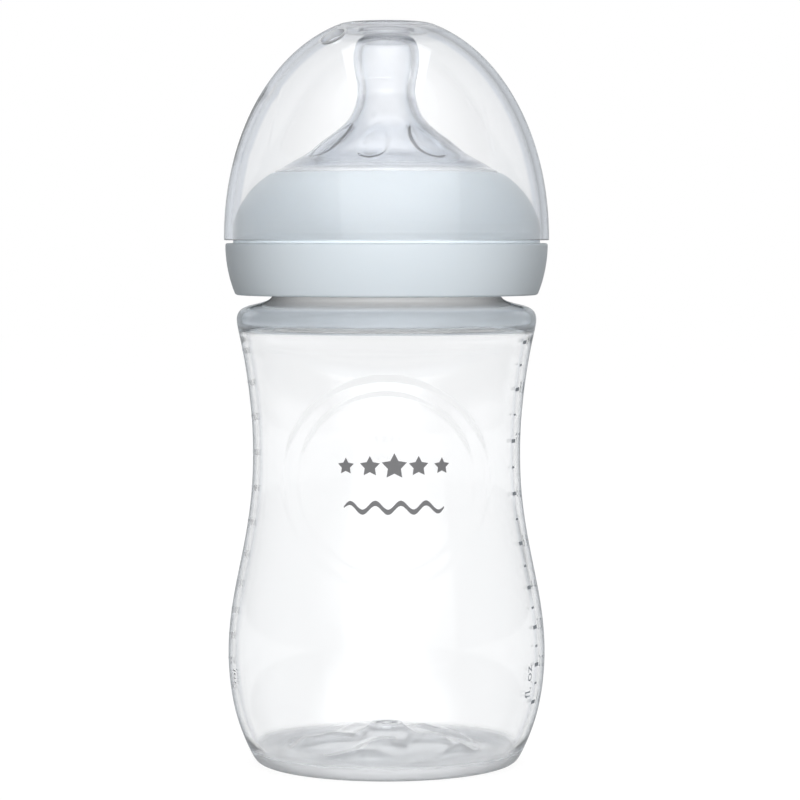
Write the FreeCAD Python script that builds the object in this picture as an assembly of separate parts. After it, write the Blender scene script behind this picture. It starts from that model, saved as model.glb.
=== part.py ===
import FreeCAD
import Part
import math
import os

# Baby bottle: a waisted clear bottle, a silicone teat clamped by a screw ring,
# and a clear dome cap that pushes on over the ring.
# Millimetres.  +Z is up, the front is -Y, and the origin is the centre of the foot.

V = FreeCAD.Vector
UP = V(0, 0, 1)
ORIGIN = V(0, 0, 0)

# ---- driving dimensions ------------------------------------------------------
# Bottle
WALL = 1.5                    # bottle wall
FOOT_WALL = 2.1               # the wall thickens towards the foot
FOOT_IN, FOOT_OUT = 24.4, 27.0        # flat ring the bottle stands on
SHOULDER_R, SHOULDER_Z = 33.4, 99.2   # widest point of the shoulder
THICK_FROM_Z = 94.0           # above this the wall thickens into the shoulder
NECK_R, NECK_FOOT_Z = 25.3, 105.0     # neck outside radius, top of its root fillet
RIM_Z = 124.5                 # top of the neck
RIM_ROUND = 0.45              # rounding of the neck's rim
BOSS_R, BOSS_Z = 3.9, 8.6     # moulding boss in the middle of the pushed-up floor
BOSS_FOOT_Z = 6.5             # underside of the boss
GROOVE_IN, GROOVE_OUT, GROOVE_DEEP = 0.9, 2.6, 0.3    # ring groove in the boss's top
FLOOR_WALL = 1.8
LOBES, LOBE_R, LOBE_TWIST = 5, 15.0, 42.0   # swirled lobes round the floor
LOBE_START_AZ = 18.0
DISH_Z, DISH_OUT, DISH_IN = 64.7, 23.0, 19.6  # round dish on the front
DISH_STEP = 0.22              # depth of each of the dish's two steps

# Measuring scale on the bottle's right-hand side
SCALE_AZ = 69.0               # degrees round from the front
TICK_RISE = 0.15
TICK_WHOLE, TICK_HALF = (2.4, 0.8), (1.4, 0.45)   # length and height of the two ticks
FIRST_OUNCES, LAST_OUNCES = 1.0, 9.0
OUNCE_ML = 29.57
FLOOR_ML = 10.0               # room taken up by the pushed-up floor and its lobes

# Screw thread between neck and ring
LEAD = 5.0                    # rise per turn
NECK_CREST = 26.9
NECK_TURNS = 1.0
NECK_THREAD_Z = 113.4         # start of the neck thread's centre line
RING_CREST = 25.75
RING_TURNS = 0.55
THREAD_DROP = 1.65            # the ring's thread sits this far under the neck's
THREAD_BASE, THREAD_TOP = 1.1, 0.45   # half widths at root and crest
THREAD_BURY = 0.3             # how far a rib's root sinks into its wall
RING_THREAD_AZ = 20.0         # where the ring's thread starts, round from the neck's

# Screw ring
RING_FOOT_Z = 104.6
RING_LEDGE_Z = 116.1          # the cap's edge stands just above this ledge
RING_R_FOOT, RING_R_LEDGE = 33.9, 35.9
CAP_SEAT_R = 34.15            # wall the cap slides over
OPENING_R, OPENING_Z = 25.5, 131.66   # mouth of the ring, where the teat comes out
RING_BORE = 27.25
SKIRT_OUT = 28.85             # outside of the threaded inner skirt
RING_WALL = 1.6
ARC_R, ARC_Z, ARC = 16.3, 115.75, 18.38       # centre and radius of the ring's shoulder
ARC_LOW, ARC_HIGH = 11.0, 58.8        # degrees up from the horizontal
BEAD_RISE = 0.2               # bead that holds the cap on
FLANGE_T = 2.3                # teat flange, clamped between rim and ring
SEAL_GAP = 0.12               # kept between the soft flange and each hard face

# Teat
TEAT_TIP_Z = 162.4
CONE_FOOT_R, CONE_FOOT_Z = 25.2, 131.1    # the cone starts here, just inside the ring's mouth
TEAT_WALL = 1.7
TEAT_HOLE_R = 0.35
PLUG_T, PLUG_DEEP = 1.3, 1.7  # short skirt that drops into the neck
PETALS, PETAL_R, PETAL_Z = 7, 12.3, 138.3
PETAL_SIZE, PETAL_SLOPE = (4.2, 3.0, 1.25), 38.0
PETAL_START_AZ = -102.0

# Dome cap
CAP_FOOT_Z = 116.75
CAP_R = 36.2
CAP_TOP_Z = 165.05
CAP_WALL = 1.6
CAP_EDGE = 0.45               # height of the small chamfer round the flat top
DOME_RISE, DOME_POWER = 49.8, 2.06    # height and squareness of the dome's curve
SEAL_IN, SEAL_OUT, SEAL_Z = 5.3, 6.3, 162.8   # ring inside the top, round the teat's tip
VENT_R, VENT_AZ, VENT_AT_R, VENT_Z = 2.8, -46.0, 16.5, 161.7
VENT_TILT = 33.0              # degrees between the air hole's axis and the vertical
GRIP_AZ, GRIP_DEPTH = -68.0, 0.12     # shallow finger recess, repeated opposite
GRIP_HALF, GRIP_LOW_Z, GRIP_TOP_Z = 11.5, 132.8, 151.0


# ---- helpers -----------------------------------------------------------------
def rz(points):
    """Points given as (radius, height) in the XZ half plane."""
    return [V(r, 0, z) for r, z in points]


def spline(points, start, end):
    """Smooth curve through the points, leaving along start and arriving along end."""
    reach = [0.0]
    for a, b in zip(points, points[1:]):
        reach.append(reach[-1] + math.hypot(b[0] - a[0], b[1] - a[1]))
    first = V(start[0], 0, start[1]).normalize()
    last = V(end[0], 0, end[1]).normalize()
    curve = Part.BSplineCurve()
    curve.interpolate(Points=rz(points), Parameters=reach, InitialTangent=first,
                      FinalTangent=last, Scale=False)
    return curve


def line(a, b):
    return Part.makeLine(V(a[0], 0, a[1]), V(b[0], 0, b[1]))


def arc(a, b, c):
    pa, pb, pc = rz([a, b, c])
    return Part.Arc(pa, pb, pc).toShape()


def turned(edges, angle=360.0):
    """Solid of revolution of a closed section about +Z."""
    face = Part.Face(Part.Wire(edges))
    solid = face.revolve(ORIGIN, UP, angle)
    return solid if solid.isValid() else Part.makeSolid(solid.Shells[0])


def polyline(points):
    return [line(points[i], points[(i + 1) % len(points)]) for i in range(len(points))]


def offset(curve, depth, count=40):
    """Points at depth(z) to the left of a curve that runs upwards: its inner skin."""
    found = []
    for i in range(count + 1):
        t = curve.FirstParameter + (curve.LastParameter - curve.FirstParameter) * i / count
        p, d = curve.value(t), curve.tangent(t)[0]
        length = math.hypot(d.x, d.z)
        k = depth(p.z)
        found.append((p.x - k * d.z / length, p.z + k * d.x / length))
    return found


def at_azimuth(shape, degrees):
    """Turn a shape made at the front (-Y) round the axis, positive towards +X."""
    turned_shape = shape.copy()
    turned_shape.rotate(ORIGIN, UP, degrees)
    return turned_shape


def ellipsoid(a, b, c):
    matrix = FreeCAD.Matrix()
    matrix.scale(a, b, c)
    return Part.makeSphere(1.0).transformGeometry(matrix)


def helix_rib(root_r, crest_r, start_z, start_deg, turns):
    """Trapezoid thread swept along a right-hand helix, its root buried in the wall."""
    helix = Part.makeLongHelix(LEAD, LEAD * turns, root_r)
    out = 1.0 if crest_r > root_r else -1.0
    bury = root_r - out * THREAD_BURY
    section = Part.makePolygon([V(bury, 0, -THREAD_BASE), V(crest_r, 0, -THREAD_TOP),
                                V(crest_r, 0, THREAD_TOP), V(bury, 0, THREAD_BASE),
                                V(bury, 0, -THREAD_BASE)])
    rib = Part.Wire(helix.Edges).makePipeShell([section], True, True)
    rib.rotate(ORIGIN, UP, start_deg)
    rib.translate(V(0, 0, start_z))
    return rib


# ---- bottle ------------------------------------------------------------------
def body_side():
    return spline([(FOOT_OUT, 0), (29.0, 0.45), (30.2, 2.0), (31.8, 5.4), (33.7, 10.9),
                   (34.9, 17.0), (35.42, 24.0), (35.1, 31.0), (34.1, 38.0), (32.5, 46.0),
                   (31.0, 54.2), (30.1, 62.0), (29.87, 68.0), (30.05, 76.0),
                   (30.9, 84.7), (32.2, 92.7), (33.1, 97.0), (SHOULDER_R, SHOULDER_Z)],
                  (1, 0), (0, 1))


def body_shoulder():
    return spline([(SHOULDER_R, SHOULDER_Z), (32.95, 100.8), (31.4, 101.95),
                   (29.5, 102.5), (27.4, 103.05), (25.9, 103.8), (NECK_R, NECK_FOOT_Z)],
                  (0, 1), (0, 1))


def inner_shoulder():
    """Inside of the thick shoulder, from the side wall up into the neck."""
    return [(31.2, 96.6), (30.7, 98.3), (29.5, 99.9), (27.6, 101.3), (25.4, 102.6),
            (24.1, 104.0), (NECK_R - WALL, NECK_FOOT_Z + 0.6)]


def wall_at(z):
    return WALL + (FOOT_WALL - WALL) * math.exp(-z / 3.0)


def floor_points(lift):
    """Pushed-up floor from the foot to the boss; lift raises the inside face."""
    return [(FOOT_IN - 0.9, 0.7 + lift), (20.0, 1.2 + lift), (14.0, 2.5 + lift),
            (8.5, 4.5 + lift), (BOSS_R + 0.6, 6.0 + lift)]


def boss_points():
    """Top of the boss from its edge to the axis, with a shallow ring groove."""
    chamfer, groove_z = 0.3, BOSS_Z - GROOVE_DEEP
    return [(BOSS_R, BOSS_Z - chamfer), (BOSS_R - chamfer, BOSS_Z), (GROOVE_OUT, BOSS_Z),
            (GROOVE_OUT - chamfer, groove_z), (GROOVE_IN + chamfer, groove_z),
            (GROOVE_IN, BOSS_Z), (0, BOSS_Z), (0, BOSS_FOOT_Z), (BOSS_R, BOSS_FOOT_Z)]


def bottle_shell():
    side, shoulder = body_side(), body_shoulder()
    inner_side = [p for p in offset(side, wall_at) if p[1] < THICK_FROM_Z]
    inner = spline(inner_side + inner_shoulder(), (1, 0), (0, 1))
    neck_in = NECK_R - WALL
    over, under = floor_points(FLOOR_WALL), floor_points(0.0)
    upper_floor = spline([inner_side[0]] + over, (-1, 0), (-1, 0.6))
    lower_floor = spline(under[::-1] + [(FOOT_IN, 0)], (1, -0.6), (0.8, -1))
    rim, corner = RIM_ROUND, RIM_ROUND * (1.0 - math.sqrt(0.5))
    boss = [over[-1]] + boss_points() + [under[-1]]
    edges = [
        side.toShape(), shoulder.toShape(),
        line((NECK_R, NECK_FOOT_Z), (NECK_R, RIM_Z - rim)),
        arc((NECK_R, RIM_Z - rim), (NECK_R - corner, RIM_Z - corner), (NECK_R - rim, RIM_Z)),
        line((NECK_R - rim, RIM_Z), (neck_in + rim, RIM_Z)),
        arc((neck_in + rim, RIM_Z), (neck_in + corner, RIM_Z - corner), (neck_in, RIM_Z - rim)),
        line((neck_in, RIM_Z - rim), inner_shoulder()[-1]),
        inner.toShape(), upper_floor.toShape(),
    ]
    edges += [line(p, q) for p, q in zip(boss, boss[1:])]
    edges += [lower_floor.toShape(), line((FOOT_IN, 0), (FOOT_OUT, 0))]
    return turned(edges)


def floor_lobes():
    """Ellipsoid lobes on the floor and the hollows under them."""
    inside_floor = floor_points(0.7)
    middle_z, ceiling_z, edge_r = inside_floor[-1][1], 20.0, inside_floor[0][0]
    above = turned(polyline(inside_floor + [(0, middle_z), (0, ceiling_z), (edge_r, ceiling_z)]))
    bumps, hollows = [], []
    for i in range(LOBES):
        for size, z, group in (((8.2, 4.3, 4.7), 2.3, bumps), ((6.8, 2.9, 3.3), 2.0, hollows)):
            lobe = ellipsoid(*size)
            lobe.rotate(ORIGIN, UP, LOBE_TWIST)
            lobe.translate(V(LOBE_R, 0, z))
            group.append(at_azimuth(lobe, LOBE_START_AZ + i * 360.0 / LOBES))
    return [bump.common(above) for bump in bumps], hollows


def skin_sector(outward, inward, half_deg, z0, z1):
    """Slice of the bottle's outer skin centred on the front, as a thin solid."""
    side = body_side()
    span = [p for p in offset(side, lambda z: -outward, 80) if z0 <= p[1] <= z1]
    back = [p for p in offset(side, lambda z: inward, 80) if z0 <= p[1] <= z1]
    outer, inner = spline(span, (0, 1), (0, 1)), spline(back, (0, 1), (0, 1))
    piece = turned([outer.toShape(), line(span[-1], back[-1]), inner.toShape(),
                    line(back[0], span[0])], 2.0 * half_deg)
    piece.rotate(ORIGIN, UP, -90.0 - half_deg)
    return piece


def front_dish():
    """Two shallow round steps cut into the front of the waist."""
    cuts = []
    for radius, depth in ((DISH_OUT, DISH_STEP), (DISH_IN, 2 * DISH_STEP)):
        disc = Part.makeCylinder(radius, 40, V(0, -1, DISH_Z), V(0, -1, 0))
        cuts.append(disc.common(skin_sector(1.0, depth, 62.0, 36.0, 94.0)))
    return cuts


def fill_heights():
    """Ounces and height of the liquid at each half ounce, from the volume of the inside."""
    inner = offset(body_side(), wall_at, 200)
    marks, volume, ounces = [], -FLOOR_ML * 1000.0, FIRST_OUNCES
    for (r0, z0), (r1, z1) in zip(inner, inner[1:]):
        slice_volume = math.pi * (z1 - z0) * (r0 * r0 + r0 * r1 + r1 * r1) / 3.0
        while ounces <= LAST_OUNCES and volume + slice_volume >= ounces * OUNCE_ML * 1000.0:
            part = (ounces * OUNCE_ML * 1000.0 - volume) / slice_volume
            marks.append((ounces, z0 + (z1 - z0) * part))
            ounces += 0.5
        volume += slice_volume
    return marks


def scale_ticks():
    """Raised ticks: long at whole ounces, short between."""
    bars = []
    for ounces, z in fill_heights():
        long, high = TICK_WHOLE if ounces == int(ounces) else TICK_HALF
        bars.append(Part.makeBox(long, 12.0, high, V(-long / 2, -40.0, z - high / 2)))
    ticks = Part.makeCompound(bars).common(skin_sector(TICK_RISE, 0.3, 8.0, 8.0, 98.0))
    return at_azimuth(ticks, SCALE_AZ)


def bottle_body():
    body = bottle_shell()
    bumps, hollows = floor_lobes()
    body = body.fuse(bumps).cut(hollows)
    body = body.cut(front_dish())
    body = body.fuse(scale_ticks())
    thread = helix_rib(NECK_R, NECK_CREST, NECK_THREAD_Z, 0.0, NECK_TURNS)
    return body.fuse(thread)


# ---- screw ring ----------------------------------------------------------------
def on_arc(deg, shrink=0.0):
    """Point on the ring's shoulder arc, or on the inside of its wall."""
    a = math.radians(deg)
    return (ARC_R + (ARC - shrink) * math.cos(a), ARC_Z + (ARC - shrink) * math.sin(a))


def screw_ring():
    seat_top = RIM_Z + FLANGE_T + 2 * SEAL_GAP
    inner_deg = math.degrees(math.acos((SKIRT_OUT - ARC_R) / (ARC - RING_WALL)))
    inner_low, inner_high = on_arc(ARC_LOW, RING_WALL), on_arc(inner_deg, RING_WALL)
    lip_z = OPENING_Z - 0.45
    bead_z = RING_LEDGE_Z + 2.2
    edges = [
        arc((RING_R_FOOT - 0.7, RING_FOOT_Z), (RING_R_FOOT - 0.2, RING_FOOT_Z + 0.15),
            (RING_R_FOOT, RING_FOOT_Z + 0.6)),
        arc((RING_R_FOOT, RING_FOOT_Z + 0.6), (35.24, 109.7), (RING_R_LEDGE, RING_LEDGE_Z - 0.5)),
        arc((RING_R_LEDGE, RING_LEDGE_Z - 0.5), (RING_R_LEDGE - 0.12, RING_LEDGE_Z - 0.13),
            (RING_R_LEDGE - 0.5, RING_LEDGE_Z)),
        line((RING_R_LEDGE - 0.5, RING_LEDGE_Z), (CAP_SEAT_R, RING_LEDGE_Z)),
        line((CAP_SEAT_R, RING_LEDGE_Z), (CAP_SEAT_R, bead_z - 0.6)),
        arc((CAP_SEAT_R, bead_z - 0.6), (CAP_SEAT_R + BEAD_RISE, bead_z), (CAP_SEAT_R, bead_z + 0.6)),
        line((CAP_SEAT_R, bead_z + 0.6), on_arc(ARC_LOW)),
        arc(on_arc(ARC_LOW), on_arc((ARC_LOW + ARC_HIGH) / 2), on_arc(ARC_HIGH)),
        arc(on_arc(ARC_HIGH), (OPENING_R + 0.12, OPENING_Z - 0.13), (OPENING_R, lip_z)),
        line((OPENING_R, lip_z), (OPENING_R, seat_top)),
        line((OPENING_R, seat_top), (RING_BORE, seat_top)),
        line((RING_BORE, seat_top), (RING_BORE, RING_FOOT_Z + 1.9)),
        line((RING_BORE, RING_FOOT_Z + 1.9), (RING_BORE + 0.5, RING_FOOT_Z + 1.2)),
        line((RING_BORE + 0.5, RING_FOOT_Z + 1.2), (SKIRT_OUT, RING_FOOT_Z + 1.2)),
        line((SKIRT_OUT, RING_FOOT_Z + 1.2), inner_high),
        arc(inner_high, on_arc((inner_deg + ARC_LOW) / 2, RING_WALL), inner_low),
        line(inner_low, (CAP_SEAT_R - 1.5, RING_LEDGE_Z + 1.4)),
        line((CAP_SEAT_R - 1.5, RING_LEDGE_Z + 1.4), (RING_R_LEDGE - 1.8, RING_LEDGE_Z - 1.3)),
        arc((RING_R_LEDGE - 1.8, RING_LEDGE_Z - 1.3), (33.45, 109.9),
            (RING_R_FOOT - 1.8, RING_FOOT_Z + 0.2)),
        arc((RING_R_FOOT - 1.8, RING_FOOT_Z + 0.2), (RING_R_FOOT - 1.6, RING_FOOT_Z + 0.05),
            (RING_R_FOOT - 1.3, RING_FOOT_Z)),
        line((RING_R_FOOT - 1.3, RING_FOOT_Z), (RING_R_FOOT - 0.7, RING_FOOT_Z)),
    ]
    # the thread follows the neck thread's own helix, a little lower
    thread_z = NECK_THREAD_Z + LEAD * RING_THREAD_AZ / 360.0 - THREAD_DROP
    return turned(edges).fuse(helix_rib(RING_BORE, RING_CREST, thread_z, RING_THREAD_AZ, RING_TURNS))


# ---- teat ----------------------------------------------------------------------
def teat_outside():
    return spline([(CONE_FOOT_R, CONE_FOOT_Z), (24.9, 131.85), (24.0, 132.4), (22.4, 133.3),
                   (20.1, 134.6), (17.8, 135.9), (14.4, 138.6), (10.9, 141.2), (8.2, 143.9),
                   (6.9, 146.7), (6.45, 150.3), (6.9, 153.3), (7.33, 156.8), (7.1, 159.3),
                   (6.3, 161.2), (4.9, 162.15), (3.4, TEAT_TIP_Z)], (0, 1), (-1, 0))


def teat():
    outside = teat_outside()
    root_in = CONE_FOOT_R - TEAT_WALL
    skin = [(root_in, CONE_FOOT_Z - 1.1)]
    skin += [p for p in offset(outside, lambda z: TEAT_WALL, 60) if p[0] < root_in - 1.3]
    flange_z, flange_top = RIM_Z + SEAL_GAP, RIM_Z + SEAL_GAP + FLANGE_T
    flange_r = RING_BORE - 0.55
    plug_r, plug_z = NECK_R - WALL - 0.3, flange_z - PLUG_DEEP
    top_in = (1.2, TEAT_TIP_Z - TEAT_WALL)
    inside = spline(skin + [top_in], (0, 1), (-1, 0))
    edges = [
        line((CONE_FOOT_R, flange_top), (CONE_FOOT_R, CONE_FOOT_Z)),
        outside.toShape(),
        line((3.4, TEAT_TIP_Z), (TEAT_HOLE_R, TEAT_TIP_Z)),
        line((TEAT_HOLE_R, TEAT_TIP_Z), (TEAT_HOLE_R, top_in[1])),
        line((TEAT_HOLE_R, top_in[1]), top_in),
        inside.toShape(),
        line(skin[0], (root_in, flange_top + 1.0)),
        line((root_in, flange_top + 1.0), (plug_r - PLUG_T, plug_z)),
        line((plug_r - PLUG_T, plug_z), (plug_r - 0.5, plug_z)),
        line((plug_r - 0.5, plug_z), (plug_r, plug_z + 0.5)),
        line((plug_r, plug_z + 0.5), (plug_r, flange_z)),
        line((plug_r, flange_z), (flange_r, flange_z)),
        arc((flange_r, flange_z), (flange_r + 0.25, flange_z + FLANGE_T / 2), (flange_r, flange_top)),
        line((flange_r, flange_top), (CONE_FOOT_R, flange_top)),
    ]
    pads = []
    for i in range(PETALS):
        pad = ellipsoid(*PETAL_SIZE)
        pad.rotate(ORIGIN, V(0, 1, 0), PETAL_SLOPE)
        pad.translate(V(PETAL_R, 0, PETAL_Z))
        pads.append(at_azimuth(pad, PETAL_START_AZ + i * 360.0 / PETALS))
    return turned(edges).fuse(pads)


# ---- dome cap --------------------------------------------------------------------
def dome_radius(z):
    """Radius of the dome's outside at height z: a slightly squared ellipse."""
    u = min(max((z - CAP_FOOT_Z) / DOME_RISE, 0.0), 1.0)
    return CAP_R * (1.0 - u ** DOME_POWER) ** (1.0 / DOME_POWER)


def dome_section(depth, foot):
    """Points up one side of the dome at a depth under its outside."""
    stations = 15
    rise = CAP_TOP_Z - CAP_EDGE - CAP_FOOT_Z
    heights = [CAP_FOOT_Z + rise * math.sin(math.pi / 2 * i / stations) for i in range(stations + 1)]
    outer = spline([(dome_radius(z), z) for z in heights], (0, 1), (-1, 0.38))
    points = offset(outer, lambda z: depth, 48)
    points = [p for p in points if p[1] > foot + 0.4]
    return [(points[0][0], foot)] + points


def dome_solid(depth, foot, top):
    """Full dome at a depth under the outside, closed by a flat at top."""
    points = dome_section(depth, foot)
    side = spline(points, (0, 1), (-1, 0.35))
    last = points[-1]
    flat_r = last[0] - 0.5
    edges = [side.toShape(), line(last, (flat_r, top)), line((flat_r, top), (0, top)),
             line((0, top), (0, foot)), line((0, foot), points[0])]
    return turned(edges)


def grip_tool():
    """Slab with the recess's outline, standing at the front of the dome."""
    low, top, half = GRIP_LOW_Z, GRIP_TOP_Z, GRIP_HALF
    right = [(half - 3.0, low), (half, low + 3.2), (half - 1.5, top - 6.0), (half - 5.5, top)]
    left = [(-x, z) for x, z in reversed(right)]
    outline = [V(x, 0, z) for x, z in right + left + right[:1]]
    return Part.Face(Part.makePolygon(outline)).extrude(V(0, -60, 0))


def seal_ring():
    outer, inner = (Part.makeCylinder(r, 3.0, V(0, 0, SEAL_Z)) for r in (SEAL_OUT, SEAL_IN))
    return outer.cut(inner)


def air_hole():
    """Drill square to the dome's surface."""
    tilt = math.radians(VENT_TILT)
    normal = V(0, -math.sin(tilt), math.cos(tilt))
    drill = Part.makeCylinder(VENT_R, 12.0, V(0, -VENT_AT_R, VENT_Z) - normal * 6.0, normal)
    return at_azimuth(drill, VENT_AZ)


def dome_cap():
    shell = dome_solid(0.0, CAP_FOOT_Z, CAP_TOP_Z)
    cap = shell.cut(dome_solid(CAP_WALL, CAP_FOOT_Z, CAP_TOP_Z - CAP_WALL))
    under_grip = dome_solid(GRIP_DEPTH, CAP_FOOT_Z, CAP_TOP_Z - GRIP_DEPTH)
    for azimuth in (GRIP_AZ, GRIP_AZ + 180.0):
        cap = cap.cut(at_azimuth(grip_tool(), azimuth).cut(under_grip))
    return cap.fuse(seal_ring().common(shell)).cut(air_hole())


# ---- output ------------------------------------------------------------------------
PARTS = {
    "bottle_body": bottle_body,
    "screw_ring": screw_ring,
    "teat": teat,
    "dome_cap": dome_cap,
}

os.makedirs("parts", exist_ok=True)
for name, make in PARTS.items():
    shape = make()
    if len(shape.Solids) == 1:
        shape = shape.Solids[0]
    shape.exportStep("parts/" + name + ".step")
    box = shape.optimalBoundingBox()
    print("%-12s solids %d valid %s volume %.0f mm3 z %.2f..%.2f r %.2f" % (
        name, len(shape.Solids), shape.isValid(), shape.Volume, box.ZMin, box.ZMax, box.XMax))
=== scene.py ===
"""Looks of the baby bottle: clear waisted bottle, pale screw ring, soft teat and clear dome cap.

Every moulding is turned from its section in millimetres (radius, height) and given
its own relief: the dish, thread, floor lobes, petals, grips and air hole.
The front is -Y and +Z is up, as in the CAD part.
"""

import math

import bmesh
import bpy
import numpy as np
from mathutils import Matrix, Vector


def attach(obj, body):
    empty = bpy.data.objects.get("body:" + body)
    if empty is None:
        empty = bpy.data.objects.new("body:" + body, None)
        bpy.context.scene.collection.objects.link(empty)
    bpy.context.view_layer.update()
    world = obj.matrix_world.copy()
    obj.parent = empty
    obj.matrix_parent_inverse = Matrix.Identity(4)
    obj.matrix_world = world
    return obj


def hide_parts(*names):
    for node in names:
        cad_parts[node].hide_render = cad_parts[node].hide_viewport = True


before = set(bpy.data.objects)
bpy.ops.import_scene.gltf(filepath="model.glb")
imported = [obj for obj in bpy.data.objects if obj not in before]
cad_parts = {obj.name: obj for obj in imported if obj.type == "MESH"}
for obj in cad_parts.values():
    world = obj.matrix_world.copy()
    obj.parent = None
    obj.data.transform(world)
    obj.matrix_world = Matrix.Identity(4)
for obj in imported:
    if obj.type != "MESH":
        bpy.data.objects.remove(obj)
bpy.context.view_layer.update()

MM = 0.001
TURN = 2.0 * math.pi

# ---- sizes shared by the pieces, mm ------------------------------------------
WALL = 1.5
FOOT_WALL = 2.1
THICK_FROM_Z = 96.2
FOOT_IN, FOOT_OUT = 24.4, 27.0
NECK_R, NECK_FOOT_Z, RIM_Z = 25.3, 105.0, 124.5
BOSS_R, BOSS_Z, FLOOR_WALL = 3.9, 8.6, 1.8
RIM_ROUND = 0.45
LOBES, LOBE_START_AZ, LOBE_SWIRL, LOBE_HEIGHT = 5, 45.5, 1.5, 2.2
DISH_Z, DISH_OUT, DISH_IN, DISH_STEP = 64.7, 23.0, 19.6, 0.22
LEAD, RIB_FLAT, RIB_FLANK = 5.0, 1.05, 0.55
NECK_RIB_Z, NECK_RIB_TURNS, NECK_RIB_TALL = 113.4, 1.0, 1.6
RING_RIB_AZ, RING_RIB_TURNS, RING_RIB_TALL = 20.0, 0.55, 1.5
RING_FOOT_Z, RING_LEDGE_Z = 104.6, 116.1
RING_R_FOOT, RING_R_LEDGE, RING_WALL = 33.9, 35.9, 1.6
CAP_SEAT_R, RING_BORE, SKIRT_OUT = 34.15, 27.25, 28.85
OPENING_R, OPENING_Z = 25.5, 131.66
FLANGE_T, SEAL_GAP = 2.3, 0.12
TEAT_TIP_Z, TEAT_WALL, TEAT_HOLE_R = 162.4, 1.7, 0.35
CONE_FOOT_Z = 131.1
PETALS, PETAL_R, PETAL_AZ = 7, 12.3, -102.0
PETAL_LONG, PETAL_HALF_WIDE, PETAL_TALL, PETAL_EDGE = 5.0, 3.7, 0.42, 1.3
PETAL_LEAN = 0.62, 0.79            # direction a pad rises in, across and along the axis
RIDGE_Z, RIDGE_TALL = 152.1, 0.16
CAP_FOOT_Z, CAP_R, CAP_TOP_Z, CAP_WALL = 116.75, 36.19, 165.05, 1.6
DOME_RISE, DOME_POWER = 49.8, 2.06
VENT_R, VENT_AZ, VENT_AT_R, VENT_Z = 2.8, -46.0, 16.5, 161.7
GRIP_AZ, GRIP_DEPTH = -68.0, 0.15
CAP_TOP_SLOPE = (-1, 0.38)
TIP_RING_IN, TIP_RING_OUT, TIP_RING_Z, TIP_RING_EDGE = 5.3, 6.3, 162.8, 0.15
VENT_NORMAL = (0, -0.545, 0.838)


# ---- curves --------------------------------------------------------------------
def smooth(points, start, end, step=0.5):
    """Cubic through the points with unit tangents start and end, as (n, 2) stations."""
    p = np.array(points, float)
    s = np.concatenate([[0.0], np.cumsum(np.hypot(*np.diff(p, axis=0).T))])
    h = np.diff(s)
    n = len(p)
    a = np.zeros((n, n))
    b = np.zeros((n, 2))
    unit = [np.array(v, float) / np.hypot(*v) for v in (start, end)]
    a[0, 0], a[-1, -1] = 1.0, 1.0
    b[0], b[-1] = unit
    for i in range(1, n - 1):
        a[i, i - 1], a[i, i], a[i, i + 1] = h[i], 2.0 * (h[i - 1] + h[i]), h[i - 1]
        b[i] = 3.0 * (h[i] * (p[i] - p[i - 1]) / h[i - 1] + h[i - 1] * (p[i + 1] - p[i]) / h[i])
    d = np.linalg.solve(a, b)
    t = np.linspace(0.0, s[-1], max(3, int(round(s[-1] / step)) + 1))
    i = np.clip(np.searchsorted(s, t, side="right") - 1, 0, n - 2)
    u = ((t - s[i]) / h[i])[:, None]
    w = h[i][:, None]
    return ((2 * u**3 - 3 * u**2 + 1) * p[i] + (u**3 - 2 * u**2 + u) * w * d[i]
            + (3 * u**2 - 2 * u**3) * p[i + 1] + (u**3 - u**2) * w * d[i + 1])


def inward(path, depth):
    """Stations at depth(z) to the left of a path: the inside of a wall whose outside runs up."""
    d = np.gradient(path, axis=0)
    d /= np.hypot(d[:, 0], d[:, 1])[:, None]
    k = np.array([depth(z) for z in path[:, 1]])
    return path + np.stack([-d[:, 1], d[:, 0]], axis=1) * k[:, None]


def straight(a, b, step=0.6):
    """Evenly spaced stations from a to b."""
    n = max(1, int(round(math.dist(a, b) / step)))
    return np.array([np.array(a) + (np.array(b) - np.array(a)) * i / n for i in range(n + 1)])


def bend(centre, radius, a0, a1, step=0.25):
    """Arc in the section, angles in degrees from +r towards +z."""
    n = max(3, int(abs(math.radians(a1 - a0)) * radius / step))
    a = np.radians(np.linspace(a0, a1, n + 1))
    return np.stack([centre[0] + radius * np.cos(a), centre[1] + radius * np.sin(a)], axis=1)


def chain(*paths):
    """Joins paths end to end, dropping repeated stations."""
    out = [np.array(paths[0][0])]
    for path in paths:
        for q in path:
            if math.dist(out[-1], q) > 0.02:
                out.append(np.array(q))
    return np.array(out)


def nearest(section, r, z):
    """Row of the section's station closest to a point."""
    return int(np.argmin(np.abs(section[:, 0] - r) + np.abs(section[:, 1] - z)))


def step_up(x, low, high):
    """0 below low, 1 above high, smooth between."""
    t = np.clip((x - low) / (high - low), 0.0, 1.0)
    return t * t * (3.0 - 2.0 * t)


# ---- turned meshes ---------------------------------------------------------------
def round_angles(fine_from=None, fine_to=None, fine=0.7, coarse=2.0):
    """Angles round the axis in degrees, finer over one stretch."""
    if fine_from is None:
        return np.arange(0.0, 360.0, coarse)
    fine_part = np.arange(fine_from, fine_to, fine)
    rest = np.arange(fine_to, fine_from + 360.0 - 1e-6, coarse)
    return np.concatenate([fine_part, rest])


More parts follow.
